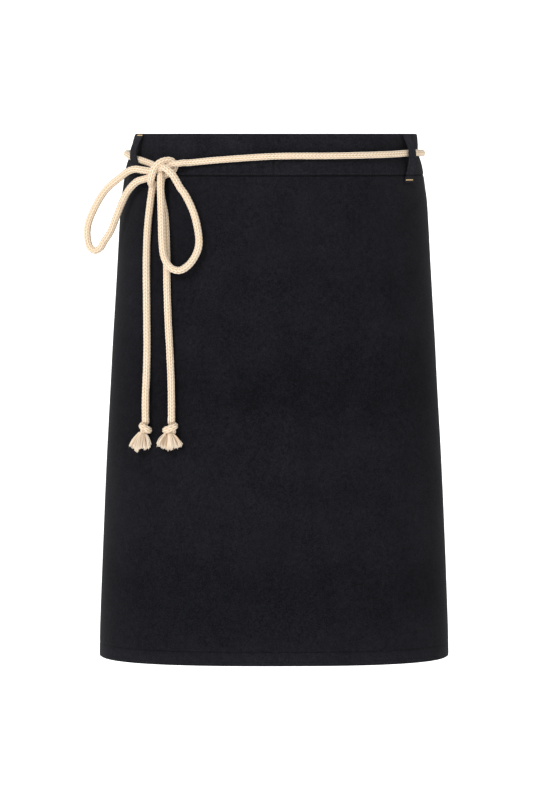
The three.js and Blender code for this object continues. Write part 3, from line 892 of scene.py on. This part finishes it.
# Waistband: two folded strips that meet at the middle of the front
band = {
    "columns": 150,
    "crowding": 1.25,  # how much closer the columns stand at the centre seam
    "thickness": 3.6,  # from the outer ply's face to the inner ply's
    "flat": 104,  # breadth before it is folded
    "seamDepth": (1.6, 0.8),  # of the centre seam, below the rope and above it
    "seamReach": (1.1, 3.2),
    "seamBlend": 6,
    "crease": 0.8,  # soft crease left of the centre seam
    "creaseSide": -16,
    "creaseReach": 5,
    "stitchDrop": 48.2,
    "stitchDepth": 0.25,
    "stitchReach": 1.0,
    "rowEnds": (0.004, 0.997),  # where its row of stitches starts and ends, round each side
}
bandMiddle = apron["bandHeight"] / 2



def bandProfile():
    # lift and drop from the outer ply's foot over the fold to the inner ply's foot
    height, thick = apron["bandHeight"], band["thickness"]
    profile = [(-1.4, height - 0.3), (-0.9, height), (-0.35, height), (0, height - 0.5)]
    for k in range(26):
        profile.append((0, mix(height - 1.2, 2.4, k / 25)))
    for k in range(9):
        turn = math.pi * k / 8
        profile.append((-thick / 2 + math.cos(turn) * thick / 2, 1.8 - math.sin(turn) * 2.2))
    for k in range(12):
        profile.append((-thick, mix(4, height, k / 11)))
    return profile


def bandPoint(around, drop, lift=0.0):
    angle = angleAround(around, drop)
    beside = around * girth(drop, around)
    above = 1 - smoothStep(beltDropAt(angle) - band["seamBlend"], beltDropAt(angle), drop)
    seam = mix(*band["seamDepth"], above) * bell(beside, 0, mix(*band["seamReach"], above))
    seam += band["crease"] * bell(beside, band["creaseSide"], band["creaseReach"])
    groove = band["stitchDepth"] * bell(drop, band["stitchDrop"], band["stitchReach"])
    return bodyPoint(angle, drop, lift - beltDent(angle, drop) - seam - groove) * mm


def bandPiece(name, side):
    profile = bandProfile()
    xSteps, ySteps = band["columns"], len(profile) - 1
    bm = bmesh.new()
    made = bmesh.ops.create_grid(bm, x_segments=xSteps, y_segments=ySteps, size=0.5, calc_uvs=True)
    for vert in made["verts"]:
        share = round((vert.co.x + 0.5) * xSteps) / xSteps
        lift, drop = profile[round((vert.co.y + 0.5) * ySteps)]
        around = share ** band["crowding"] * side
        vert.co = bandPoint(around, drop, lift)
    size = (side * girth(bandMiddle, side), band["flat"])
    piece = newPiece(name, bm, bandTwillPaintedLight, size, outward=False)
    if side < 0:
        piece.data.flip_normals()
    thicken(piece)
    return piece


leftBand = bandPiece("waistband_left_cloth", -1)
rightBand = bandPiece("waistband_right_cloth", 1)
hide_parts("waistband_left")
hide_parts("waistband_right")
print("waistband sewn on")

# Stitches
stitch = {
    "pitch": 2.4,
    "hemPitch": 3.3,
    "length": 0.95,
    "width": 0.6,
    "rise": 0.4,
    "lift": 0.12,
    # how far a stitch may slip along and down, and the least and most of its length and width
    "slipAlong": 0.15,
    "slipDown": 0.12,
    "lengths": (0.45, 1.3),
    "widths": (0.7, 1.15),
}


def addStitch(bm, place, along, out, length, width, rise):
    side = out.cross(along).normalized()
    axes = Matrix((along * length / 2, side * width / 2, out * rise / 2)).transposed().to_4x4()
    axes.translation = place
    bmesh.ops.create_uvsphere(bm, u_segments=6, v_segments=4, radius=mm, matrix=axes)


def clothFrame(point, around, drop):
    here = point(around, drop)
    right = (point(around + 0.003, drop) - here).normalized()
    down = (point(around, drop + 1) - here).normalized()
    return here, right, down, down.cross(right).normalized()


def stitchPiece(name, places, material):
    # places holds rows of point function, around, drop and whether the row runs downwards
    bm = bmesh.new()
    dice = random.Random(7)
    for point, around, drop, isDown in places:
        here, right, down, out = clothFrame(point, around, drop)
        along = down if isDown else right
        slipAlong = right * dice.uniform(-stitch["slipAlong"], stitch["slipAlong"])
        slipDown = down * dice.uniform(-stitch["slipDown"], stitch["slipDown"])
        here = here + (out * stitch["lift"] + slipAlong + slipDown) * mm
        length = stitch["length"] * dice.uniform(*stitch["lengths"])
        width = stitch["width"] * dice.uniform(*stitch["widths"])
        addStitch(bm, here, along, out, length, width, stitch["rise"])
    piece = newPiece(name, bm, material, outward=False)
    return piece


def rowAcross(point, drop, start, end, pitch):
    length = abs(end - start) * girth(drop, start + end)
    count = round(length / pitch)
    return [(point, mix(start, end, (k + 0.5) / count), drop, False) for k in range(count)]


def rowDown(point, around, start, end):
    count = round((end - start) / stitch["hemPitch"])
    return [(point, around, mix(start, end, (k + 0.5) / count), True) for k in range(count)]


rowStart, rowEnd = band["rowEnds"]
bandRows = rowAcross(bandPoint, band["stitchDrop"], -rowEnd, -rowStart, stitch["pitch"])
bandRows += rowAcross(bandPoint, band["stitchDrop"], rowStart, rowEnd, stitch["pitch"])
hemRows = rowAcross(panelPoint, hemStitchDrop, -0.995, -0.001, stitch["hemPitch"])
hemRows += rowAcross(panelPoint, hemStitchDrop, 0.001, 0.995, stitch["hemPitch"])
for side in (-1, 1):
    hemRows += rowDown(panelPoint, side * backStitch, 56, hemTop - 1)
bandStitches = stitchPiece("waistband_stitches", bandRows, blackThread)
hemStitches = stitchPiece("hem_stitches", hemRows, hemThreadPaintedGlint)
print("stitches", len(bandRows), len(hemRows))

# Belt loops: flat straps over the rope, with tan bar tacks at their ends
strap = {
    "width": 14.0,
    "thickness": 1.9,
    "around": 28,
    "steps": 60,
    "flat": (27, 57),  # breadth and length of the cloth in it
    "squareness": 0.35,
    "ridge": 0.22,  # depth of the furrow beside each edge, its place and its reach
    "ridgeShare": 0.36,
    "ridgeReach": 0.6,
    "seating": 0.8,
    "slope": 0.02,  # share of the strap before and after a point that gives its direction
    "tackWidth": 12.4,
    "tackHeight": 2.0,
    "tackStitches": 18,
    "tackThread": (0.75, 0.7),
    "tackLean": 0.35,
    "tackLift": 0.05,
    "barStitches": 4,
    "barShare": 0.36,
    "barSize": (2.8, 0.6, 0.6),
    "barLift": 0.2,
}
strapAngles = {"left": (-156, -145.5), "right": (-29.5, -33)}
strapTacks = {"left": (0.02, 0.945), "right": (0.945,)}
# share of the band's height, height over the cloth as a share of the room for the rope
strapProfile = [
    (0.02, 0), (0.06, 0.1), (0.15, 0.42), (0.26, 0.78), (0.38, 1), (0.52, 1.04), (0.66, 0.93),
    (0.82, 0.64), (0.96, 0.3), (1.08, 0.05), (1.19, 0),
]


def strapFrame(side, share):
    # Centre, direction down, direction across and direction out at a share of the strap
    room = rope["beltDiameter"] - rope["beltPress"] + 3 * rope["clearance"] + strap["seating"]
    top, foot = strapAngles[side]

    def centre(amount):
        dropShare = mix(strapProfile[0][0], strapProfile[-1][0], amount)
        drop = dropShare * apron["bandHeight"]
        angle = math.radians(mix(top, foot, dropShare / strapProfile[-1][0]))
        rise = rowAt(strapProfile, dropShare)[1]
        lift = rope["clearance"] + max(0, rise) * room + strap["thickness"] / 2
        return bodyPoint(angle, drop, lift) * mm, bodyPoint(angle, drop, lift + 1) * mm

    here, outer = centre(share)
    below = centre(min(1, share + strap["slope"]))[0]
    above = centre(max(0, share - strap["slope"]))[0]
    down = (below - above).normalized()
    across = (outer - here).cross(Vector((0, 0, -1))).normalized()
    return here, down, across, down.cross(across).normalized()


def strapPiece(name, side):
    bm = bmesh.new()
    frames = [strapFrame(side, k / strap["steps"]) for k in range(strap["steps"] + 1)]
    power, ridgeSide = strap["squareness"], strap["width"] * strap["ridgeShare"]

    def place(row, around, _):
        here, _, across, out = frames[row]
        angle = 2 * math.pi * around
        c, s = math.cos(angle), math.sin(angle)
        wide = math.copysign(abs(c) ** power, c) * strap["width"] / 2
        ridge = strap["ridge"] * bell(abs(wide), ridgeSide, strap["ridgeReach"])
        thick = math.copysign(abs(s) ** power, s) * (strap["thickness"] / 2 - ridge)
        return here + (across * wide + out * thick) * mm, 1.0

    addTube(bm, [frame[0] for frame in frames], strap["around"], place)
    closeHoles(bm)
    piece = newPiece(name, bm, strapTwillPaintedLight, strap["flat"])
    return piece


def tackPiece(name, side, shares):
    bm = bmesh.new()
    for share in shares:
        here, down, across, out = strapFrame(side, share)
        face = strap["thickness"] / 2
        for k in range(strap["tackStitches"]):
            slip = mix(-0.5, 0.5, k / (strap["tackStitches"] - 1)) * strap["tackWidth"]
            lean = strap["tackLean"] if k % 2 else -strap["tackLean"]
            along = (down + across * lean).normalized()
            place = here + (across * slip + out * (face + strap["tackLift"])) * mm
            addStitch(bm, place, along, out, strap["tackHeight"], *strap["tackThread"])
        for k in range(strap["barStitches"]):
            amount = k / (strap["barStitches"] - 1)
            slip = mix(-strap["barShare"], strap["barShare"], amount) * strap["tackWidth"]
            place = here + (across * slip + out * (face + strap["barLift"])) * mm
            addStitch(bm, place, across, out, *strap["barSize"])
    piece = newPiece(name, bm, tanThread, outward=False)
    return piece


for side in ("left", "right"):
    loop = strapPiece(f"belt_loop_{side}_strap", side)
    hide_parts(f"belt_loop_{side}")
    tackPiece(f"belt_loop_{side}_tacks", side, strapTacks[side])
print("belt loops sewn")

panelArea = panelWidth * panelLength * panel["taper"] * mm * mm
girth(bandMiddle, -1) * mm
girth(bandMiddle, 1) * mm

# Floor, backdrop and soft studio light
studio = {
    "floor": -1.05,
    "size": 7.0,
    "back": 3.2,
    "bend": 1.2,  # radius where the floor runs up into the backdrop
    "steps": 40,
    "white": 0.9,
    "roughness": 0.9,
    "glow": 0.55,
    "world": 0.55,
}
# name, place, what it points at, size and power
lights = [
    ("key", (-1.5, -2.2, 1.5), (0, 0, -0.25), (0.9, 0.9), 60),
    ("fill", (1.8, -2.6, 0.4), (0, 0, -0.3), (2.0, 2.0), 14),
]


def addStudio(settings):
    bm = bmesh.new()
    size, back, bend = settings["size"], settings["back"], settings["bend"]
    made = bmesh.ops.create_grid(bm, x_segments=2, y_segments=settings["steps"], size=0.5)
    for vert in made["verts"]:
        share = vert.co.y + 0.5
        if share < 0.5:
            y, z = mix(-size, back - bend, share / 0.5), 0
        elif share < 0.75:
            turn = (share - 0.5) / 0.25 * math.pi / 2
            y, z = back - bend + math.sin(turn) * bend, bend - math.cos(turn) * bend
        else:
            y, z = back, mix(bend, size, (share - 0.75) / 0.25)
        vert.co = (vert.co.x * 2 * size, y, settings["floor"] + z)
    mesh = bpy.data.meshes.new("floor")
    bm.to_mesh(mesh)
    bm.free()
    mesh.polygons.foreach_set("use_smooth", [True] * len(mesh.polygons))
    floor = bpy.data.objects.new("floor", mesh)
    scene.collection.objects.link(floor)
    finish = Finish("pale floor")
    white = settings["white"]
    inputs = {
        "Base Color": (white, white, white, 1),
        "Roughness": settings["roughness"],
        "Emission Color": (1, 1, 1, 1),
        "Emission Strength": settings["glow"],
    }
    shader = finish.node("ShaderNodeBsdfPrincipled", inputs=inputs)
    # Seen from behind the sheet is clear, so the apron's back shows too
    clear = finish.node("ShaderNodeBsdfTransparent")
    side = finish.node("ShaderNodeNewGeometry", output="Backfacing")
    both = finish.node("ShaderNodeMixShader", inputs={0: side, 1: shader, 2: clear})
    finish.node("ShaderNodeOutputMaterial", inputs={"Surface": both})
    mesh.materials.append(finish.material)
    world = bpy.data.worlds.new("studio")
    scene.world = world
    world.use_nodes = True
    background = world.node_tree.nodes["Background"]
    background.inputs["Color"].default_value = (1, 1, 1, 1)
    background.inputs["Strength"].default_value = settings["world"]


def addLight(name, place, target, size, power):
    data = bpy.data.lights.new(name, "AREA")
    data.shape = "RECTANGLE"
    data.size, data.size_y = size
    data.energy = power
    light = bpy.data.objects.new(name, data)
    light.location = place
    light.rotation_euler = (Vector(target) - Vector(place)).to_track_quat("-Z", "Y").to_euler()
    scene.collection.objects.link(light)


addStudio(studio)
for facts in lights:
    addLight(*facts)
print("studio lit")
